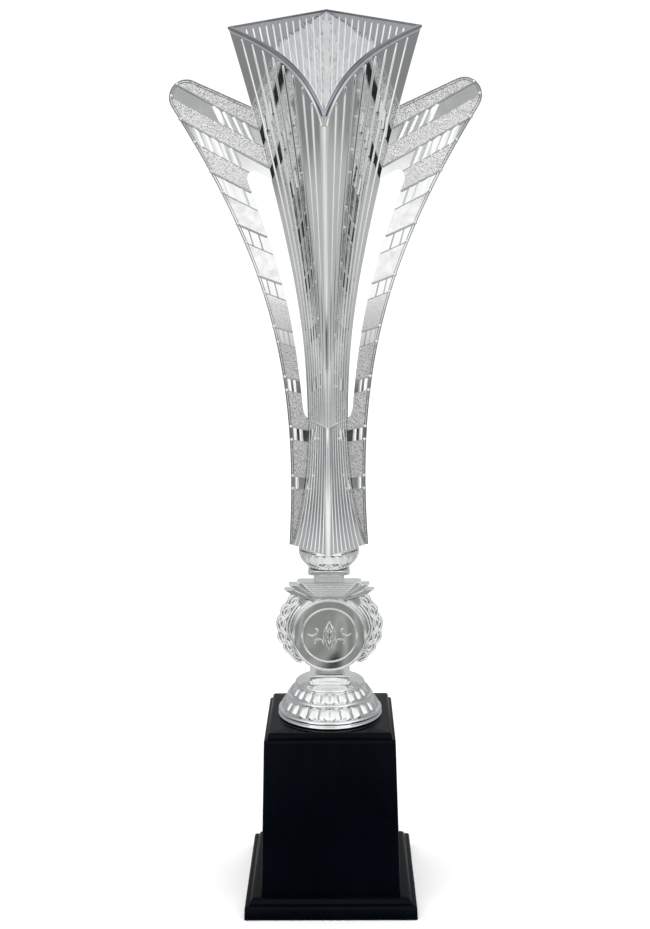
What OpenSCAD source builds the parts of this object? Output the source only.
// Presentation trophy: a four-panel flared cup with two side wings, on a wreath riser,
// a gadrooned foot and a square pedestal, all clamped by one threaded rod.
// Origin: centre of the underside. +Z up, the open scoop of the cup faces -Y, wings along X.

/* [Pedestal] */
// Width of the plinth moulding across its flats
plinth_w = 78; // [76:0.5:82]
// Height of the plinth moulding
plinth_h = 8.8; // [8.6:0.2:10]
// Width of the pillar where it stands on the plinth
pillar_foot_w = 63; // [62:0.5:64]
// Width of the pillar under its cap
pillar_top_w = 59; // [58:0.5:60]
// Height of the pedestal's top face
base_h = 83.8; // [76:0.2:92]
// Height of the stepped cap
cap_h = 4.5; // [4.3:0.1:6]
// Wall thickness of the black mouldings
base_wall = 2.5; // [2:0.1:3]

/* [Foot and riser] */
// Height of the round foot
foot_h = 16.8; // [16:0.2:18]
// Largest radius of the round foot
foot_r = 24.1; // [23:0.1:26]
// Radius of the medallion ring
ring_r = 17.1; // [16.5:0.1:18]
// Radius of the centre disc seat
disc_r = 12.5; // [12:0.1:13]
// Half thickness of the riser's ring
ring_half_t = 4.2; // [4:0.1:5]

/* [Cup] */
// Depth of the rhombic cup from side corner to ridge, over its half width
cup_depth_ratio = 1.9; // [1.75:0.01:2]
// Wall thickness of the cup panels
cup_wall = 1.3; // [1.2:0.1:1.6]
// Height of the side corners of the rim
rim_side_z = 391.4; // [388:0.2:394]
// Height of the rear peak of the rim
rim_rear_z = 411.6; // [406:0.2:414]
// Height of the bottom of the front scoop
scoop_z = 347.2; // [344:0.2:352]

/* [Wings] */
// Thickness of the wing plates
wing_t = 2.6; // [2:0.1:3]
// Depth that a wing's inner edge is let into the cup's side seam
wing_rebate = 1.5; // [1.2:0.1:1.6]

/* [Hardware] */
// Radius of the M4 tie rod
rod_r = 2; // [2:0.1:2.5]
// Radial clearance of the rod in its bores
rod_gap = 0.15; // [0.1:0.05:0.3]

/* [Hidden] */
$fn = 64;

silver = [0.86, 0.87, 0.87];
pewter = [0.74, 0.75, 0.76];
ebony = [0.05, 0.055, 0.07];
steel = [0.62, 0.63, 0.65];
far = 120;

// Pedestal levels
felt_t = 1.2;
cover_t = 2.8;
cover_z = felt_t + cover_t;
plinth_half = plinth_w / 2;
plinth_hole_half = 28.5;
recess_half = 36;
lip_depth = 2.8;
weight_half = 25.8;
weight_h = 10;
screw_offset = 32.5;
cap_z = base_h - cap_h;
deck_t = 3;

// Riser levels
foot_z = base_h;
step_z = foot_z + foot_h;
step_h = 3;
stem_z = step_z + step_h;
ring_z = step_z + 21.9;
fan_top_z = step_z + 46.6;
neck_h = 4.5;
collar_z = fan_top_z + neck_h;
collar_t = 2;
fan_half_t = 4;
neck_half_t = 4.5;
bowl_z = collar_z + collar_t;
bezel_t = 2.2;
disc_t = 1;
wreath_half_t = 2.6;
tongue_half_t = 1.2;
leaf_count = 7;

// Cup levels and curves: control points are [half width, height]
sleeve_z = 164.2;
seam_z = 221.5;
seam_drop = 0.116;
foot_rise = 0.063;
bowl_top_z = sleeve_z + 0.8;
floor_t = 2.4;
floor_half = 15.2;
boss_top_z = 170;
spigot_low_z = 212;
spigot_top_z = 230;
spigot_gap = 0.1;
spigot_wall = 1.2;
sleeve_curve = [[17.8, sleeve_z], [11, 182], [9.6, 205], [8.9, 223]];
cup_curve = [[8.9, 216], [9.8, 248], [7.2, 276], [41.4, rim_side_z]];
rim_slope = 0.297;
rim_over = 24;
scoop_y = -55;
scoop_curve = [[0, rim_side_z], [-29, rim_side_z - 10.7], [scoop_y, rim_side_z - 23], [scoop_y, scoop_z]];
rear_ridge_y = cup_depth_ratio * (41.4 + rim_slope * (rim_rear_z - rim_side_z));

// Wing curves
wing_outer_curve = [[18, sleeve_z], [13, 238.5], [24, 288.3], [62.8, 352.1]];
wing_slot_curve = [[11.1, 226.3], [15.8, 279.1], [22.2, 289.9], [34.6, 327.6]];
wing_tip = [59.8, 362];
wing_tip_r = 7.7;
wing_root_z = 358;
slot_low_z = 223.2;
slot_corner = [31.2, 328];
slot_corner_r = 3.2;

// Rod levels
washer_r = 4.5;
washer_t = 1;
nut_r = 4.04;
nut_h = 3.2;
deck_z = cap_z - deck_t;
rod_low_z = 66;
rod_top_z = 178;
bore_r = rod_r + rod_gap;

panel_turn = atan(1 / cup_depth_ratio);
panel_lean = cos(panel_turn);

function bezier(p, t) =
    pow(1 - t, 3) * p[0] + 3 * pow(1 - t, 2) * t * p[1] + 3 * (1 - t) * t * t * p[2] + pow(t, 3) * p[3];
function curve(p, steps) = [for (i = [0 : steps]) bezier(p, i / steps)];
function arc(c, r, a0, a1, steps) =
    [for (i = [0 : steps]) let (a = a0 + (a1 - a0) * i / steps) [c[0] + r * cos(a), c[1] + r * sin(a)]];
function shifted(points, dx) = [for (p = points) [p[0] + dx, p[1]]];
function reversed(points) = [for (i = [len(points) - 1 : -1 : 0]) points[i]];
function rim_end(over) = [41.4 + rim_slope * over, rim_side_z + over];

sleeve_path = curve(sleeve_curve, 14);
cup_path = concat(curve(cup_curve, 26), [rim_end(rim_over)]);

// Extrudes a drawing of the XZ plane along Y, from y0 to y1
module along_y(y0, y1) {
    translate([0, y1, 0]) rotate([90, 0, 0]) linear_extrude(height = y1 - y0) children();
}

// Extrudes a drawing of the YZ plane along X, over the whole width
module along_x() {
    rotate([90, 0, 90]) linear_extrude(height = 2 * far, center = true) children();
}

// A square moulding with mitred corners, from half its outline as [half width, height]
module mitred(profile) {
    outline = concat(profile, [for (p = reversed(profile)) [-p[0], p[1]]]);
    intersection() {
        along_y(-far, far) polygon(outline);
        along_x() polygon(outline);
    }
}

module linear_extrude_at(z, h) {
    translate([0, 0, z]) linear_extrude(height = h) children();
}

module rod_bore() {
    translate([0, 0, -1]) cylinder(r = bore_r, h = rod_top_z + 20);
}

// ---- pedestal ----

module felt_pad() {
    color("darkgreen") translate([-recess_half, -recess_half, 0])
        cube([2 * recess_half, 2 * recess_half, felt_t]);
}

module at_screws() {
    for (x = [-screw_offset, screw_offset], y = [-screw_offset, screw_offset])
        translate([x, y, felt_t]) children();
}

// Countersunk screw, head down
module cover_screw() {
    cylinder(r1 = 2.8, r2 = 1.5, h = 1.4);
    cylinder(r = 1.5, h = 6.4);
}

module cover_screws() {
    color(steel) at_screws() cover_screw();
}

module bottom_cover() {
    color("saddlebrown") difference() {
        translate([-recess_half, -recess_half, felt_t]) cube([2 * recess_half, 2 * recess_half, cover_t]);
        at_screws() cover_screw();
    }
}

module base_weight() {
    color(steel) translate([-weight_half, -weight_half, cover_z])
        cube([2 * weight_half, 2 * weight_half, weight_h]);
}

module plinth_frame() {
    profile = concat(
        [[plinth_half, 0]],
        arc([plinth_half - 1.6, 5], 1.4, 0, 90, 5),
        [[plinth_half - 2.2, 6.4]],
        arc([plinth_half - 4.6, plinth_h - 1.8], 1.8, 0, 90, 5)
    );
    color(ebony) difference() {
        mitred(profile);
        translate([-recess_half, -recess_half, -1]) cube([2 * recess_half, 2 * recess_half, 1 + cover_z]);
        translate([-plinth_hole_half, -plinth_hole_half, 0])
            cube([2 * plinth_hole_half, 2 * plinth_hole_half, far]);
        at_screws() cover_screw();
    }
}

module pillar_shell() {
    foot_half = pillar_foot_w / 2;
    top_half = pillar_top_w / 2;
    lip_half = plinth_hole_half - 0.1;
    color(ebony) difference() {
        union() {
            mitred([[foot_half, plinth_h], [top_half, cap_z]]);
            translate([-lip_half, -lip_half, plinth_h - lip_depth])
                cube([2 * lip_half, 2 * lip_half, lip_depth + 1]);
        }
        mitred([
            [lip_half - 2, plinth_h - lip_depth - 1],
            [lip_half - 2, plinth_h + 1],
            [top_half - base_wall, deck_z]
        ]);
        rod_bore();
    }
}

module cap_plate() {
    half = pillar_top_w / 2;
    profile = concat(
        [[half, cap_z]],
        arc([half - 1.2, cap_z + 0.6], 1.2, 0, 90, 5),
        [[half - 1.6, cap_z + 1.8]],
        arc([half - 3, base_h - 1.4], 1.4, 0, 90, 5)
    );
    color(ebony) difference() {
        mitred(profile);
        rod_bore();
    }
}

// ---- foot and riser ----

module foot_dome() {
    outer = concat(
        arc([foot_r - 1.1, foot_z + 1.1], 1.1, -90, 80, 8),
        arc([foot_r - 1.6, foot_z + 3], 0.8, -60, 80, 6),
        [[foot_r - 2.2, foot_z + 4], [foot_r - 1.7, foot_z + 5.4], [foot_r - 3.9, foot_z + 8]],
        arc([foot_r - 4.7, foot_z + 9], 0.9, -50, 80, 6),
        [[foot_r - 5.3, foot_z + 10], [foot_r - 5.4, foot_z + 11.4], [foot_r - 7.9, foot_z + 14]],
        arc([foot_r - 8.8, foot_z + 15.1], 0.9, -50, 80, 6),
        [[foot_r - 10.2, foot_z + foot_h]]
    );
    color(silver) difference() {
        rotate_extrude() polygon(concat([[0, foot_z]], outer, [[0, foot_z + foot_h]]));
        rotate_extrude() polygon([
            [4.5, foot_z - 1], [foot_r - 2.9, foot_z - 1], [foot_r - 3.4, foot_z + 4],
            [foot_r - 8, foot_z + 9.5], [foot_r - 11, foot_z + 14.2], [4.5, foot_z + 14.2]
        ]);
        rod_bore();
    }
}

// Half outline of the feathered fan between the ring and the neck
module fan_outline() {
    fan = [
        [10, ring_z + 14], [17.4, fan_top_z - 6.3], [20.8, fan_top_z - 3.9], [17.6, fan_top_z - 3.3],
        [18.6, fan_top_z - 1.3], [14.2, fan_top_z - 0.9], [14.7, fan_top_z]
    ];
    polygon(concat(fan, [for (p = reversed(fan)) [-p[0], p[1]]]));
}

// Groove in the rim of the ring that takes a wreath's tongue, on the +X side
module tongue_outline(low_r, high_r) {
    translate([0, ring_z]) intersection() {
        difference() {
            circle(r = high_r);
            circle(r = low_r);
        }
        translate([11.5, -12]) square([10, 24]);
    }
}

// The front half of the moulded riser: block, stem, ring, fan and neck
module riser_half() {
    difference() {
        union() {
            along_y(-7.5, 0) translate([-9.2, step_z]) square([18.4, step_h]);
            along_y(-6, 0) translate([-6.9, stem_z]) square([13.8, 6]);
            along_y(-ring_half_t, 0) translate([0, ring_z]) circle(r = ring_r);
            along_y(-fan_half_t, 0) difference() {
                fan_outline();
                translate([0, ring_z]) circle(r = ring_r - 1);
            }
            along_y(-neck_half_t, 0) translate([-7.1, fan_top_z - 1]) square([14.2, neck_h + 1]);
        }
        for (side = [0, 1]) mirror([side, 0, 0])
            along_y(-tongue_half_t, 1) tongue_outline(ring_r - 1.9, ring_r + 1);
        translate([0, -ring_half_t - bezel_t, ring_z]) rotate([-90, 0, 0]) cylinder(r = ring_r, h = bezel_t);
        rod_bore();
    }
}

module riser_front() {
    color(silver) riser_half();
}

module riser_rear() {
    color(silver) mirror([0, 1, 0]) riser_half();
}

// Angle of a wreath leaf about the ring's axis, from the lower end up
function leaf_angle(i) = -42 + 84 * i / (leaf_count - 1);

// Distance of a leaf's centre from the ring's axis: the chain draws in towards its lower end
function leaf_reach(angle) = max(16.2, min(20.4, 20.4 + 0.11 * (angle - 5)));

// One side of the laurel wreath: a chain of open leaf loops round the ring
module wreath_half() {
    along_y(-wreath_half_t, wreath_half_t) translate([0, ring_z]) difference() {
        for (i = [0 : leaf_count - 1]) rotate(leaf_angle(i))
            translate([leaf_reach(leaf_angle(i)), 0]) circle(r = 3.7, $fn = 32);
        for (i = [0 : leaf_count - 1]) rotate(leaf_angle(i))
            translate([leaf_reach(leaf_angle(i)) + 0.8, 0]) circle(r = 1.5, $fn = 24);
        circle(r = ring_r);
    }
    along_y(-tongue_half_t, tongue_half_t) tongue_outline(ring_r - 1.9, ring_r + 0.6);
}

module wreath_left() {
    color(pewter) mirror([1, 0, 0]) wreath_half();
}

module wreath_right() {
    color(pewter) wreath_half();
}

// Turned ring with a raised outer bead and a dished land round the disc, facing -Y
module bezel() {
    translate([0, -ring_half_t, ring_z]) rotate([90, 0, 0]) rotate_extrude() polygon([
        [disc_r, 0], [ring_r, 0], [ring_r, bezel_t - 0.5], [ring_r - 0.5, bezel_t],
        [ring_r - 1.1, bezel_t], [ring_r - 1.6, bezel_t - 0.8], [disc_r + 0.5, disc_t + 0.1],
        [disc_r, disc_t + 0.1]
    ]);
}

module bezel_front() {
    color(silver) bezel();
}

module bezel_rear() {
    color(silver) mirror([0, 1, 0]) bezel();
}

// Plain centre disc, facing -Y
module centre_disc() {
    translate([0, -ring_half_t, ring_z]) rotate([90, 0, 0]) cylinder(r = disc_r - 0.1, h = disc_t);
}

module disc_front() {
    color(pewter) centre_disc();
}

module disc_rear() {
    color(pewter) mirror([0, 1, 0]) centre_disc();
}

module collar_plate() {
    color(silver) difference() {
        linear_extrude_at(collar_z, collar_t) polygon([
            [-9.4, -8.2], [-8.2, -9.4], [8.2, -9.4], [9.4, -8.2],
            [9.4, 8.2], [8.2, 9.4], [-8.2, 9.4], [-9.4, 8.2]
        ]);
        rod_bore();
    }
}

module calyx_bowl() {
    color(silver) difference() {
        rotate_extrude() polygon([
            [0, bowl_z], [8.5, bowl_z], [10.6, bowl_z + 0.9], [12.6, bowl_z + 3.2], [13.6, bowl_z + 6.4],
            [13.8, bowl_z + 8.6], [12.9, bowl_z + 9.2], [12.9, bowl_top_z], [0, bowl_top_z]
        ]);
        rotate_extrude() polygon([
            [4.2, bowl_z + 1.6], [8.6, bowl_z + 1.6], [11, bowl_z + 3.8],
            [11.6, bowl_z + 6.4], [11.6, far * 2], [4.2, far * 2]
        ]);
        rod_bore();
    }
}

// ---- cup ----

// One flared panel of constant wall, as a curved strip pushed along the panel's own direction
module panel(path, wall) {
    outer = [for (p = path) [p[0] * panel_lean, p[1]]];
    rotate([0, 0, -panel_turn])
        along_y(-far, far) polygon(concat(outer, reversed(shifted(outer, -wall))));
}

// Two mitred panels that meet on the front ridge, for y < 0
module panel_pair(path, wall) {
    for (side = [0, 1]) mirror([side, 0, 0]) intersection() {
        panel(path, wall);
        translate([0, -far, 0]) cube([far, far, 4 * far]);
    }
}

// Everything below a level that changes with the distance from the wings' plane
module below_roof(z, slope) {
    along_x() polygon([[-far, 100], [-far, z + slope * far], [0, z], [far, z + slope * far], [far, 100]]);
}

// Everything below the slightly dipped seam between the sleeve and the cup
module below_seam() {
    below_roof(seam_z, -seam_drop);
}

// Everything above the rim, on the front and on the rear
module above_rim() {
    along_x() polygon(concat(
        [[-far, scoop_z]], reversed(curve(scoop_curve, 14)),
        [[rear_ridge_y, rim_rear_z], [far, rim_rear_z], [far, 4 * far], [-far, 4 * far]]
    ));
}

// Two panels of the cup: the front pair for rear = 0, the rear pair for rear = 1
module cup_half(rear) {
    color(silver) difference() {
        mirror([0, rear, 0]) panel_pair(cup_path, cup_wall);
        below_seam();
        above_rim();
        both_wings();
    }
}

module cup_front_shell() {
    cup_half(0);
}

module cup_rear_shell() {
    cup_half(1);
}

// Horizontal rhombus inside the panels, for the sleeve's floor
module rhombus(half) {
    polygon([[half, 0], [0, half * cup_depth_ratio], [-half, 0], [0, -half * cup_depth_ratio]]);
}

module cup_sleeve() {
    spigot_half = cup_curve[0][0] - (cup_wall + spigot_gap) / panel_lean;
    spigot_path = [
        [spigot_half + 0.8, spigot_low_z], [spigot_half + 0.8, spigot_low_z + 4],
        [spigot_half, spigot_low_z + 5.5], [spigot_half, spigot_top_z]
    ];
    color(silver) difference() {
        union() {
            intersection() {
                below_seam();
                union() for (rear = [0, 1]) mirror([0, rear, 0]) panel_pair(sleeve_path, cup_wall + 0.3);
            }
            for (rear = [0, 1]) mirror([0, rear, 0]) panel_pair(spigot_path, spigot_wall);
            linear_extrude_at(bowl_top_z, floor_t) rhombus(floor_half);
            linear_extrude_at(bowl_top_z, boss_top_z - bowl_top_z) circle(r = 5.5);
        }
        difference() {
            below_roof(sleeve_z, foot_rise);
            linear_extrude_at(bowl_top_z, boss_top_z) circle(r = 12.9);
        }
        both_wings();
        rod_bore();
    }
}

// ---- wings ----

// The slot between the wing and the cup, open towards the cup
module wing_slot() {
    polygon(concat(
        [[0, slot_low_z], [10.2, slot_low_z]],
        curve(wing_slot_curve, 18),
        arc(slot_corner, slot_corner_r, 0, 95, 5),
        [[0, slot_corner[1] - 2]]
    ));
}

module wing_outline() {
    inner = concat(
        shifted([for (p = sleeve_path) if (p[1] < seam_z) p], -wing_rebate),
        shifted([for (p = cup_path) if (p[1] > seam_z && p[1] < wing_root_z) p], -wing_rebate)
    );
    difference() {
        polygon(concat(
            reversed(inner),
            curve(wing_outer_curve, 26),
            arc(wing_tip, wing_tip_r, -30, 114, 12),
            [[31.9, wing_root_z]]
        ));
        wing_slot();
    }
}

module wing_plate() {
    along_y(-wing_t / 2, wing_t / 2) wing_outline();
}

module both_wings() {
    wing_plate();
    mirror([1, 0, 0]) wing_plate();
}

module wing_left() {
    color(pewter) mirror([1, 0, 0]) wing_plate();
}

module wing_right() {
    color(pewter) wing_plate();
}

// ---- clamping hardware ----

module washer_at(z) {
    color(steel) translate([0, 0, z]) difference() {
        cylinder(r = washer_r, h = washer_t);
        translate([0, 0, -1]) cylinder(r = bore_r, h = washer_t + 2);
    }
}

module nut_at(z) {
    color(steel) translate([0, 0, z]) difference() {
        cylinder(r = nut_r, h = nut_h, $fn = 6);
        translate([0, 0, -1]) cylinder(r = rod_r, h = nut_h + 2);
    }
}

module tie_rod() {
    color(steel) translate([0, 0, rod_low_z]) cylinder(r = rod_r, h = rod_top_z - rod_low_z);
}

module base_washer() {
    washer_at(deck_z - washer_t);
}

module base_nut() {
    nut_at(deck_z - washer_t - nut_h);
}

module cup_washer() {
    washer_at(boss_top_z);
}

module cup_nut() {
    nut_at(boss_top_z + washer_t);
}

felt_pad();
bottom_cover();
cover_screws();
base_weight();
plinth_frame();
pillar_shell();
cap_plate();
foot_dome();
riser_front();
riser_rear();
wreath_left();
wreath_right();
bezel_front();
bezel_rear();
disc_front();
disc_rear();
collar_plate();
calyx_bowl();
cup_sleeve();
cup_front_shell();
cup_rear_shell();
wing_left();
wing_right();
tie_rod();
base_washer();
base_nut();
cup_washer();
cup_nut();
